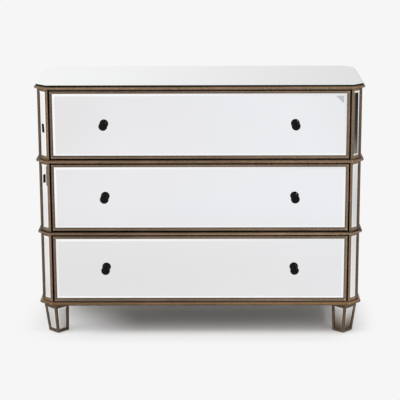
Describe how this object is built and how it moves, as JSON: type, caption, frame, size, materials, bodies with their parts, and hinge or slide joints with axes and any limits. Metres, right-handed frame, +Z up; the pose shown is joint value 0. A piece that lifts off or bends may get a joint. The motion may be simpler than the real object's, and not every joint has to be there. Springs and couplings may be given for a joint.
{
  "type": "chest of drawers",
  "caption": "Mirrored chest of drawers with clipped corners, belt mouldings, framed bevelled panes, round knobs and short tapered legs; drawers run on full-extension slides.",
  "frame": {"origin": "on the floor under the middle of the whole box, knobs included", "axes": "+X to the right of someone facing the drawers, -Y out of the drawer fronts, +Z up"},
  "size_m": [1.112, 0.469, 0.877],
  "materials": {
    "bronze_paint": "antique bronze paint, satin",
    "mirror_glass": "silvered float glass, bevelled edge",
    "top_mirror_glass": "silvered float glass, ground edge",
    "knob_black": "high gloss black",
    "carcass_board": "dark stained board",
    "drawer_board": "clear lacquered plywood",
    "zinc_steel": "bright zinc plate",
    "screw_steel": "zinc plate",
    "glide_nylon": "moulded nylon"
  },
  "bodies": {
    "case": {"case_bottom_panel": "carcass_board", "case_top_panel": "carcass_board", "left_side_panel": "bronze_paint", "right_side_panel": "bronze_paint", "back_panel": "carcass_board", "lower_divider": "bronze_paint", "upper_divider": "bronze_paint", "front_left_post": "bronze_paint", "front_right_post": "bronze_paint", "rear_right_post": "bronze_paint", "rear_left_post": "bronze_paint", "corner_mirrors": "mirror_glass", "left_side_mirrors": "mirror_glass", "right_side_mirrors": "mirror_glass", "base_moulding": "bronze_paint", "lower_belt_moulding": "bronze_paint", "upper_belt_moulding": "bronze_paint", "top_moulding": "bronze_paint", "top_glass": "top_mirror_glass", "front_left_leg": "bronze_paint", "front_right_leg": "bronze_paint", "rear_right_leg": "bronze_paint", "rear_left_leg": "bronze_paint", "leg_mirrors": "mirror_glass", "leg_bolts": "screw_steel", "leg_glides": "glide_nylon", "slide_case_members": "zinc_steel", "slide_cleats": "carcass_board"},
    "lower_drawer": {"lower_drawer_front": "bronze_paint", "lower_drawer_frame": "bronze_paint", "lower_drawer_mirror": "mirror_glass", "lower_drawer_knobs": "knob_black", "lower_knob_screws": "screw_steel", "lower_drawer_sides": "drawer_board", "lower_drawer_ends": "drawer_board", "lower_drawer_floor": "drawer_board", "lower_slide_drawer_members": "zinc_steel"},
    "lower_middle_members": {"lower_slide_middle_members": "zinc_steel"},
    "middle_drawer": {"middle_drawer_front": "bronze_paint", "middle_drawer_frame": "bronze_paint", "middle_drawer_mirror": "mirror_glass", "middle_drawer_knobs": "knob_black", "middle_knob_screws": "screw_steel", "middle_drawer_sides": "drawer_board", "middle_drawer_ends": "drawer_board", "middle_drawer_floor": "drawer_board", "middle_slide_drawer_members": "zinc_steel"},
    "middle_middle_members": {"middle_slide_middle_members": "zinc_steel"},
    "upper_drawer": {"upper_drawer_front": "bronze_paint", "upper_drawer_frame": "bronze_paint", "upper_drawer_mirror": "mirror_glass", "upper_drawer_knobs": "knob_black", "upper_knob_screws": "screw_steel", "upper_drawer_sides": "drawer_board", "upper_drawer_ends": "drawer_board", "upper_drawer_floor": "drawer_board", "upper_slide_drawer_members": "zinc_steel"},
    "upper_middle_members": {"upper_slide_middle_members": "zinc_steel"}
  },
  "joints": [
    {"name": "lower_drawer_slide", "type": "slide", "parent": "case", "child": "lower_drawer", "axis": [0, -1, 0], "range_m": [0, 0.35]},
    {"name": "middle_drawer_slide", "type": "slide", "parent": "case", "child": "middle_drawer", "axis": [0, -1, 0], "range_m": [0, 0.35]},
    {"name": "upper_drawer_slide", "type": "slide", "parent": "case", "child": "upper_drawer", "axis": [0, -1, 0], "range_m": [0, 0.35]},
    {"name": "lower_middle_member_slide", "type": "slide", "parent": "case", "child": "lower_middle_members", "axis": [0, -1, 0], "range_m": [0, 0.175]},
    {"name": "middle_middle_member_slide", "type": "slide", "parent": "case", "child": "middle_middle_members", "axis": [0, -1, 0], "range_m": [0, 0.175]},
    {"name": "upper_middle_member_slide", "type": "slide", "parent": "case", "child": "upper_middle_members", "axis": [0, -1, 0], "range_m": [0, 0.175]}
  ],
  "couplings": [
    {"joint": "lower_middle_member_slide", "follows": "lower_drawer_slide", "ratio": 0.5},
    {"joint": "middle_middle_member_slide", "follows": "middle_drawer_slide", "ratio": 0.5},
    {"joint": "upper_middle_member_slide", "follows": "upper_drawer_slide", "ratio": 0.5}
  ]
}
